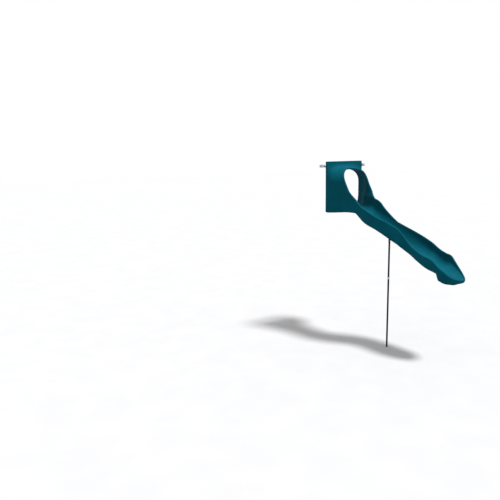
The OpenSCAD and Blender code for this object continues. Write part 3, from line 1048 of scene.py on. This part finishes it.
@dataclass
class Hood:
    """The entry hood: a flat panel with a leaning arched scoop, rolled along its rim."""

    sizes: SlideSizes = SIZES
    side_lines: int = 16
    arch_lines: int = 30
    along: int = 26
    face_steps: int = 6
    round_steps: int = 8
    arch_power: float = 2.4
    fillet_r: float = 150.0
    door_r: float = 9.0
    panel_r: float = 8.0
    corner_r: float = 22.0
    corner_from: float = 0.46
    corner_to: float = 0.54

    def line(self, k: float) -> tuple[float, float, float]:
        """A line of the scoop: share of half width, share up the side, share up the arch.

        Args:
            k: the line's number, from the seam to the crown.

        Returns:
            The three shares.
        """
        if k <= self.side_lines:
            return 1.0, k / self.side_lines, 0.0
        a = math.pi / 2 * (k - self.side_lines) / self.arch_lines
        return (max(0.0, math.cos(a)) ** (2 / self.arch_power), 1.0,
                math.sin(a) ** (2 / self.arch_power))

    def line_z(self, l: tuple[float, float, float], crown: float) -> float:
        """Height of a line for a crown of that height above the deck."""
        z = self.sizes
        return z.seam_h + l[1] * (z.spring_h - z.seam_h) + l[2] * (crown - z.spring_h) + z.deck_z

    def rim_x(self, height: float) -> float:
        """Reach of the rim at a height.

        Args:
            height: the height.

        Returns:
            Its x.
        """
        z = self.sizes
        share = (height - z.seam_z) / (z.deck_z + z.arch_h + z.wall_t - z.seam_z)
        return z.crown_reach + (z.hood_reach - z.crown_reach) * curve(z.rim_line, 1, share)

    def panel_edge(self, k: float) -> tuple[float, float, float, float]:
        """Where a line meets the panel's edge, with the way in from that edge.

        Args:
            k: the line's number, from the seam to the crown.

        Returns:
            Across and height of the edge, and the two parts of the way in.
        """
        z = self.sizes
        t = (k - self.side_lines) / self.arch_lines
        half, top, r = z.entry_w / 2, z.deck_z + z.panel_top, self.corner_r
        if t <= 0:
            return half, self.line_z(self.line(k), z.arch_h), 1.0, 0.0
        if t < self.corner_from:
            return half, lerp(z.deck_z + z.spring_h, top - r, t / self.corner_from), 1.0, 0.0
        if t <= self.corner_to:
            a = (t - self.corner_from) / (self.corner_to - self.corner_from) * math.pi / 2
            return half - r + r * math.cos(a), top - r + r * math.sin(a), math.cos(a), math.sin(a)
        return lerp(half - r, 0, (t - self.corner_to) / (1 - self.corner_to)), top, 0.0, 1.0

    def loop(self, k: float, side: Side) -> list[tuple[float, float, float]]:
        """One loop: out along the inside, round the rim, back along the outside and the panel.

        Args:
            k: the line's number, from the seam to the crown.
            side: which half.

        Returns:
            The points in millimetres.
        """
        z, l = self.sizes, self.line(k)
        high, low = self.line_z(l, z.arch_h + z.wall_t), self.line_z(l, z.arch_h)
        far = self.rim_x(high) - 1
        edge_y, edge_z, in_y, in_z = self.panel_edge(k)
        pts: list[tuple[float, float, float]] = []

        def width(x: float) -> float:
            """Half of the scoop's outer width."""
            grow = smooth((x - z.front_x) / z.flare_l * 1.5) * smooth(l[1] / 0.6)
            return z.outer_w(x) + z.hood_bulge * grow

        def inner(x: float) -> Vector:
            """Point of the inside surface."""
            return Vector((x, l[0] * (width(x) - z.wall_w(x)), low))

        def outer(x: float) -> Vector:
            """Point of the outside surface."""
            return Vector((x, l[0] * width(x), high))
        half = (outer(far) - inner(far)).length / 2
        roll = min(half, z.wall_t / 2) * (0.1 + 0.9 * smooth(k / self.side_lines * 2.2))
        end, door = far - roll, z.panel_x + self.door_r
        mouth = inner(door)
        for a in arc(0, 90, 3):
            grow = self.door_r * (1 - math.sin(a))
            pts.append((door - self.door_r * math.cos(a), mouth.y + grow * l[0],
                        mouth.z + grow * l[2]))
        pts += [tuple(inner(lerp(door, end, i / self.along))) for i in range(1, self.along + 1)]
        base_in, base_out = inner(end), outer(end)
        mid, reach = (base_in + base_out) / 2, (base_out - base_in) / 2
        pts += [tuple(mid - reach * math.cos(a) + Vector((roll * math.sin(a), 0, 0)))
                for a in arc(0, 180, self.round_steps)[1:-1]]
        span = min(self.fillet_r, (end - z.front_x) * 0.6)
        weight = smooth((k - self.side_lines * 0.6) / (self.side_lines * 0.9))
        room_y = min(span, max(0.0, edge_y - l[0] * z.outer_w(z.front_x) - 2)) * weight
        room_z = min(span, max(0.0, z.deck_z + z.panel_top - self.corner_r - 4 - high)) * weight
        for i in range(self.along + 1):
            x = lerp(end, z.front_x, i / self.along)
            d = max(0.0, 1 - (x - z.front_x) / span)
            swell = 1 - math.sqrt(max(0.0, 1 - d * d))
            pts.append(tuple(outer(x) + swell * Vector((0, room_y * l[0], room_z * l[2]))))
        r = self.panel_r

        def edge(x: float, inset: float) -> tuple[float, float, float]:
            """Point at a distance in from the panel's edge."""
            return x, edge_y - inset * in_y, edge_z - inset * in_z

        def face(goal: tuple, steps: int) -> list[tuple]:
            """Points on the straight way from the last point to the goal."""
            return [tuple(Vector(pts[-1]).lerp(Vector(goal), i / self.face_steps))
                    for i in range(1, steps + 1)]
        pts += face(edge(z.front_x, r), self.face_steps)
        pts += [edge(z.front_x - r + r * math.cos(a), r * (1 - math.sin(a)))
                for a in arc(0, 90, 4)[1:]]
        pts += [edge(z.panel_x + r - r * math.sin(a), r * (1 - math.cos(a)))
                for a in arc(0, 90, 4)]
        pts += face(pts[0], self.face_steps - 1)
        return [(x, side.value * y, h) for x, y, h in pts]

    def build(self, finish: MouldedPolyethylene) -> bpy.types.Object:
        """The hood's object.

        Args:
            finish: its finish.

        Returns:
            The object.
        """
        top = self.side_lines + self.arch_lines
        loops = [self.loop(k, Side.RIGHT) for k in range(top + 1)]
        loops += [self.loop(k, Side.LEFT) for k in range(top - 1, -1, -1)]
        rows = np.array(loops)
        draft = Draft("entry_hood")
        start = draft.grid(rows, flip=True)
        draft.cap(start, rows.shape[1])
        draft.cap(start + (len(loops) - 1) * rows.shape[1], rows.shape[1], flip=True)
        return draft.build(finish.build(), Slot.TEAL, ("hood",), 50)


@dataclass
class Fasteners:
    """Chamfered bolts with threads, rounded washers and chamfered nuts, where the CAD has them."""

    sizes: SlideSizes = SIZES
    bolt_d: float = 10
    washer_t: float = 2
    pitch: float = 1.5
    thread_h: float = 0.75
    insert_l: float = 28
    insert_room: float = 4
    around: int = 24
    clamp_gap: float = 4
    ear_w: float = 20
    ear_t: float = 10
    inner_bolt_z: float = 20
    tab_t: float = 6
    tab_in: float = 30
    tab_h: float = 38
    splice_t: float = 5
    splice_gap: float = 0.6
    splice_z: tuple = (-65, -30, 30, 65)
    bed_y: tuple = (-180, 0, 180)
    bed_in: float = 30
    plate_l: int = 100
    plate_t: float = 6
    pad_t: float = 3
    pad_gap: float = 0.3
    leg_hole_x: float = 28
    leg_hole_y: float = 42
    socket_t: float = 4
    cross_drop: float = 85

    @property
    def head_h(self) -> float:
        """Height of a bolt's head."""
        return 0.65 * self.bolt_d

    def hexagon(self, radius: float) -> np.ndarray:
        """One row of points round a hexagon, a quarter of a flat apart.

        Args:
            radius: from the middle to a corner.

        Returns:
            The row.
        """
        pts = []
        for i in range(self.around):
            a = 2 * math.pi * i / self.around
            turn = a % (math.pi / 3) - math.pi / 6
            r = radius * math.cos(math.pi / 6) / math.cos(turn)
            pts.append((r * math.cos(a), r * math.sin(a), 0))
        return np.array(pts)

    def circle(self, radius: float, height: float) -> np.ndarray:
        """One row of points round a circle.

        Args:
            radius: its radius.
            height: height of the row.

        Returns:
            The row.
        """
        return np.array([(radius * math.cos(2 * math.pi * i / self.around),
                          radius * math.sin(2 * math.pi * i / self.around), height)
                         for i in range(self.around)])

    def head_rows(self, low: float, high: float, bore: float = 0.0) -> list[np.ndarray]:
        """Rows of a chamfered hexagon.

        Args:
            low: its lower face.
            high: its upper face.
            bore: radius of a bore through it, or none.

        Returns:
            The rows from the lower face to the upper face.
        """
        flat, cut = 1.7 * self.bolt_d / 2, 0.12 * self.bolt_d
        corner = flat / math.cos(math.pi / 6)
        hexagon = self.hexagon(corner)
        reach = np.linalg.norm(hexagon[:, :2], axis=1)

        def chamfer(share: float, height: float) -> np.ndarray:
            """A row of the hexagon, cut back to a circle by its chamfer."""
            kept = np.minimum(1, (flat + (corner - flat) * share) / reach)
            return kept[:, None] * hexagon + (0, 0, height)
        shares = (0.15, 0.6, 1)
        rows = [self.circle(flat * 0.93, low), *(chamfer(s, low + cut * s) for s in shares),
                *(chamfer(s, high - cut * s) for s in shares[::-1]),
                self.circle(flat * 0.93, high)]
        if bore:
            rows = [self.circle(bore, low)] + rows + [self.circle(bore, high)]
        return rows

    def bolt(self, draft: Draft, place: Matrix, length: float) -> None:
        """A bolt whose head's seat is at the place's origin and whose shank runs up.

        Args:
            draft: where it is added.
            place: its place.
            length: length of its shank.
        """
        rows = self.head_rows(-self.head_h, 0)
        radius, turns = self.bolt_d / 2, int(length * 0.7 / self.pitch)
        rows.append(self.circle(radius, 0.01))
        start = length - 1 - turns * self.pitch
        rows.append(self.circle(radius, start))
        for i in range(turns):
            z = start + i * self.pitch
            rows += [self.circle(radius - self.thread_h, z + self.pitch * 0.4),
                     self.circle(radius, z + self.pitch * 0.9)]
        rows += [self.circle(radius - 1, length)]
        self.place_rows(draft, rows, place)

    def washer(self, draft: Draft, place: Matrix) -> None:
        """A washer with rounded edges, from the place's origin up.

        Args:
            draft: where it is added.
            place: its place.
        """
        r, bore, t = 1.05 * self.bolt_d, self.bolt_d / 2 + 0.25, self.washer_t
        rows = [self.circle(bore, t * 0.8), self.circle(bore, 0.2), self.circle(bore + 0.3, 0),
                self.circle(r - 0.5, 0), self.circle(r, 0.5), self.circle(r, t - 0.5),
                self.circle(r - 0.5, t), self.circle(bore + 0.3, t), self.circle(bore, t * 0.8)]
        self.place_rows(draft, rows, place, caps=False)

    def nut(self, draft: Draft, place: Matrix) -> None:
        """A nut with chamfered ends and a bore, from the place's origin up.

        Args:
            draft: where it is added.
            place: its place.
        """
        rows = self.head_rows(0, 0.8 * self.bolt_d, self.bolt_d / 2 + 0.2)
        rows.append(rows[0])
        self.place_rows(draft, rows, place, caps=False)

    def place_rows(self, draft: Draft, rows: list[np.ndarray], place: Matrix,
                   caps: bool = True) -> None:
        """Adds rows at a place.

        Args:
            draft: where they are added.
            rows: the rows.
            place: the place.
            caps: whether the first and last row are closed.
        """
        turn = np.array(place.to_3x3())
        grid = np.array(rows) @ turn.T + np.array(place.translation)
        start = draft.grid(grid)
        if caps:
            draft.cap(start, self.around, flip=True)
            draft.cap(start + (len(rows) - 1) * self.around, self.around)

    def along_x(self, x: float, y: float, height: float) -> Matrix:
        """A place whose up points along +X."""
        return Matrix.Translation((x, y, height)) @ Matrix.Rotation(math.pi / 2, 4, "Y")

    def belly(self, s: float) -> Vector:
        """The underside above the leg at a distance along the path."""
        z = self.sizes
        return Vector(z.put(s, -z.leg_side, z.under_z(s)))

    def at_belly(self) -> tuple[Matrix, float]:
        """Frame of the sloping underside above the leg, and the bracket's face in it.

        Returns:
            The frame, and the height in it of the bracket's lower face.
        """
        z = self.sizes
        p = self.belly(z.leg_s)
        run = self.belly(z.leg_s + 30) - self.belly(z.leg_s - 30)
        tilt = math.atan2(-run.z, math.hypot(run.x, run.y))
        turn = math.atan2(run.y, run.x)
        reach = self.plate_l // 2
        sag = max((p.z - d * math.tan(tilt) - z.under_z(z.leg_s + d)) * math.cos(tilt)
                  for d in range(-reach, reach + 1, 5))
        place = Matrix.Translation(p) @ Matrix.Rotation(turn, 4, "Z") @ \
            Matrix.Rotation(tilt, 4, "Y")
        return place, -(sag + self.pad_gap) - self.pad_t - self.plate_t

    def build(self, material: bpy.types.Material) -> None:
        """All bolts, washers and nuts.

        Args:
            material: their finish.
        """
        z, w, hold = self.sizes, self.washer_t, self.insert_l - self.insert_room
        sets = {name: Draft(name + "_detailed") for name in (
            "clamp_bolts", "clamp_washers", "clamp_nuts", "tab_bolts", "tab_washers",
            "bed_bolts", "bed_washers", "splice_bolts", "splice_washers", "leg_bolts",
            "leg_washers", "leg_cross_bolt", "leg_cross_nut")}
        clamp_z = z.deck_z + z.panel_top - z.clamp_drop
        grip, ear = 2 * self.ear_t + self.clamp_gap, z.post_d / 2 + z.clamp_t + self.ear_w / 2
        ears = ((z.post_span / 2 - ear, self.inner_bolt_z), (z.post_span / 2 + ear, 0))
        for side in Side:
            for y, up in ears:
                def spot(x: float) -> Matrix:
                    """Place on a clamp bolt's line."""
                    return self.along_x(z.post_d / 2 + x, side.value * y, clamp_z + up)
                self.bolt(sets["clamp_bolts"], spot(-grip / 2 - w), grip + 2 * w + self.bolt_d)
                self.washer(sets["clamp_washers"], spot(-grip / 2 - w))
                self.washer(sets["clamp_washers"], spot(grip / 2))
                self.nut(sets["clamp_nuts"], spot(grip / 2 + w))
            tab = self.along_x(z.panel_x - self.tab_t - w,
                               side.value * (z.entry_w / 2 - self.tab_in),
                               clamp_z - z.clamp_h / 2 + self.tab_h / 2)
            self.bolt(sets["tab_bolts"], tab, self.tab_t + w + hold)
            self.washer(sets["tab_washers"], tab)
            for up in self.splice_z:
                plate = self.along_x(z.panel_x - self.splice_gap - self.splice_t - w,
                                     side.value * (z.entry_w + z.door_w) / 4, z.seam_z + up)
                self.bolt(sets["splice_bolts"], plate, self.splice_t + w + hold)
                self.washer(sets["splice_washers"], plate)
        for y in self.bed_y:
            bed = Matrix.Translation((z.flange_reach - self.bed_in, y,
                                      z.deck_z - z.entry_bed_t - z.flange_t - w))
            self.bolt(sets["bed_bolts"], bed, z.flange_t + w + hold)
            self.washer(sets["bed_washers"], bed)
        belly, low = self.at_belly()
        for x in (-self.leg_hole_x, self.leg_hole_x):
            for y in (-self.leg_hole_y, self.leg_hole_y):
                hole = belly @ Matrix.Translation((x, y, low - w))
                self.bolt(sets["leg_bolts"], hole, w - low + hold)
                self.washer(sets["leg_washers"], hole)
        p = belly.translation
        turn = math.atan2(belly[1][0], belly[0][0])
        cross = Matrix.Translation((p.x, p.y, p.z - self.cross_drop)) @ \
            Matrix.Rotation(turn, 4, "Z") @ Matrix.Rotation(-math.pi / 2, 4, "X")
        span = z.leg_d + 2 * self.socket_t + 1
        self.bolt(sets["leg_cross_bolt"], cross @ Matrix.Translation((0, 0, -span / 2)),
                  span + self.bolt_d)
        self.nut(sets["leg_cross_nut"], cross @ Matrix.Translation((0, 0, span / 2)))
        for name, draft in sets.items():
            draft.build(material, Slot.ZINC, (name,), 35)


@dataclass
class Hardware:
    """The metal and rubber pieces: they keep their CAD shape and get rounded edges and a finish."""

    edges: dict = field(default_factory=lambda: {
        Slot.NAVY: 1.0, Slot.CASTING: 2.0, Slot.ZINC: 0.6, Slot.BRASS: 0.4, Slot.RUBBER: 0.8})

    def dress(self, finishes: dict) -> None:
        """Gives each CAD node that is still shown its finish and softened edges.

        Args:
            finishes: a material for each slot.
        """
        slots = {s["node"]: Slot(s["material_slot"]) for s in frame["record"]["subparts"]}
        for name, node in frame["nodes"].items():
            if node.hide_render:
                continue
            slot = slots[name]
            material = finishes[slot]
            if not node.material_slots:
                node.data.materials.append(material)
            for place in node.material_slots:
                place.material = material
            bevel = node.modifiers.new("soft edges", "BEVEL")
            bevel.width = self.edges[slot] * MM
            bevel.segments = 2
            bevel.limit_method = "ANGLE"
            bevel.angle_limit = math.radians(40)
            LOG.info("%s: %s", name, slot.value)


@dataclass
class Studio:
    """Floor, lights, sky and camera."""

    eye: tuple = (10.9155, -9.084, 1.734)
    ahead: tuple = (-0.7827, 0.591, -0.195)
    lens: float = 40.22
    shift: tuple = (-0.130, 0.0015)
    sun_from: tuple = (0.84, 0.54, 1.96)
    sun_energy: float = 6.0
    sun_angle: float = math.radians(9)
    floor_half: float = 60.0

    def floor(self, height: float) -> None:
        """A wide pale floor.

        Args:
            height: its height.
        """
        mesh = bpy.data.meshes.new("floor")
        side = self.floor_half
        mesh.from_pydata([(-side, -side, height), (side, -side, height), (side, side, height),
                          (-side, side, height)], [], [(0, 1, 2, 3)])
        made = bpy.data.objects.new("floor", mesh)
        mesh.materials.append(PaleFloor().build())
        bpy.context.scene.collection.objects.link(made)

    def lights(self) -> None:
        """A soft key from above the slide's left, and a white sky that fills the shade."""
        key = bpy.data.lights.new("key", "SUN")
        key.energy, key.angle = self.sun_energy, self.sun_angle
        lamp = bpy.data.objects.new("key", key)
        lamp.rotation_euler = Vector(self.sun_from).to_track_quat("Z", "Y").to_euler()
        bpy.context.scene.collection.objects.link(lamp)
        world = bpy.data.worlds.new("studio")
        bpy.context.scene.world = world
        world.use_nodes = True
        back = world.node_tree.nodes["Background"]
        back.inputs["Color"].default_value = (1.0, 1.0, 1.0, 1.0)
        back.inputs["Strength"].default_value = 1.0

    def camera(self) -> None:
        """The camera at eye level, across the slide's foot."""
        data = bpy.data.cameras.new("camera")
        data.sensor_width, data.lens = 36.0, self.lens
        data.shift_x, data.shift_y = self.shift
        made = bpy.data.objects.new("camera", data)
        ahead = Vector(self.ahead).normalized()
        made.matrix_world = Matrix.Translation(self.eye) @ \
            ahead.to_track_quat("-Z", "Y").to_matrix().to_4x4()
        data.clip_end = 500
        bpy.context.scene.collection.objects.link(made)
        bpy.context.scene.camera = made

    def build(self, floor_z: float) -> None:
        """The whole stage.

        Args:
            floor_z: height of the floor.
        """
        self.camera()
        self.lights()
        self.floor(floor_z)
        bpy.context.scene.view_settings.view_transform = "Standard"


def main() -> None:
    """Builds the looks in order."""
    logging.basicConfig(level=logging.INFO, format="%(message)s")
    Chute().build(MouldedPolyethylene("chute polyethylene", worn=True))
    Hood().build(MouldedPolyethylene("hood polyethylene"))
    zinc = PlatedSteel().build()
    Fasteners().build(zinc)
    Hardware().dress({
        Slot.NAVY: PowderCoat().build(), Slot.CASTING: CastAluminium().build(),
        Slot.ZINC: zinc,
        Slot.BRASS: PlatedSteel("turned brass", rgba(190, 152, 88), rgba(150, 116, 62)).build(),
        Slot.RUBBER: BlackRubber().build()})
    Studio().build(CAD_BOX[0][2] - 0.001)


if __name__ == "__main__":
    main()
